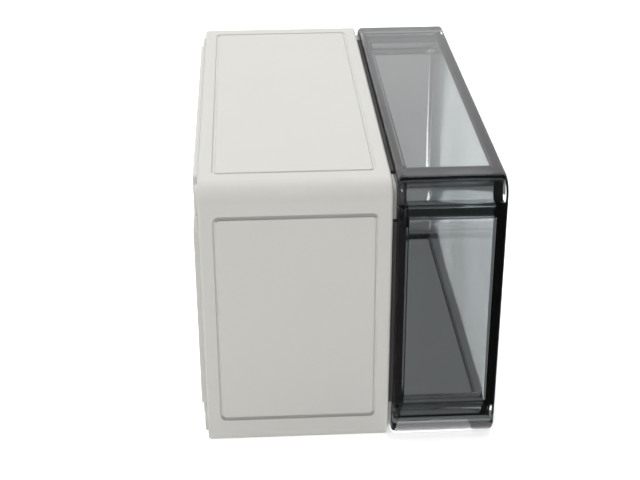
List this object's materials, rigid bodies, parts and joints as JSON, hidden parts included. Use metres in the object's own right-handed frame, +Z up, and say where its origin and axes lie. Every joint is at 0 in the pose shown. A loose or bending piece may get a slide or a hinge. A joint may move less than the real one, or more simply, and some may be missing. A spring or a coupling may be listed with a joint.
{
  "type": "plastic enclosure",
  "caption": "Wall-mount plastic enclosure with a light grey moulded base, a deep smoked see-through lid, a foam seal and captive lid screws.",
  "frame": {"origin": "centre of the long side that the case stands on, under the middle of its depth", "axes": "+X out of the lid's front, +Y along the long side, +Z up along the short side"},
  "size_m": [0.113, 0.182, 0.11],
  "materials": {
    "grey_plastic": "fine moulded grain",
    "smoked_plastic": "polished, see-through",
    "foam": "matt foam skin",
    "screw_plastic": "satin moulded"
  },
  "bodies": {
    "base": {"base": "grey_plastic"},
    "lid": {"lid": "smoked_plastic", "seal": "foam"},
    "screw_1": {"lid_screw_1": "screw_plastic"},
    "screw_2": {"lid_screw_2": "screw_plastic"},
    "screw_3": {"lid_screw_3": "screw_plastic"},
    "screw_4": {"lid_screw_4": "screw_plastic"}
  },
  "joints": [
    {"name": "lid_lift", "type": "slide", "parent": "base", "child": "lid", "axis": [1, 0, 0], "range_m": [0, 0.05]},
    {"name": "screw_1_turn", "type": "hinge", "parent": "lid", "child": "screw_1", "pos_m": [0.02, 0.0825, 0.1015], "axis": [1, 0, 0], "continuous": true},
    {"name": "screw_2_turn", "type": "hinge", "parent": "lid", "child": "screw_2", "pos_m": [0.02, -0.0825, 0.1015], "axis": [1, 0, 0], "continuous": true},
    {"name": "screw_3_turn", "type": "hinge", "parent": "lid", "child": "screw_3", "pos_m": [0.02, -0.0825, 0.0085], "axis": [1, 0, 0], "continuous": true},
    {"name": "screw_4_turn", "type": "hinge", "parent": "lid", "child": "screw_4", "pos_m": [0.02, 0.0825, 0.0085], "axis": [1, 0, 0], "continuous": true}
  ]
}
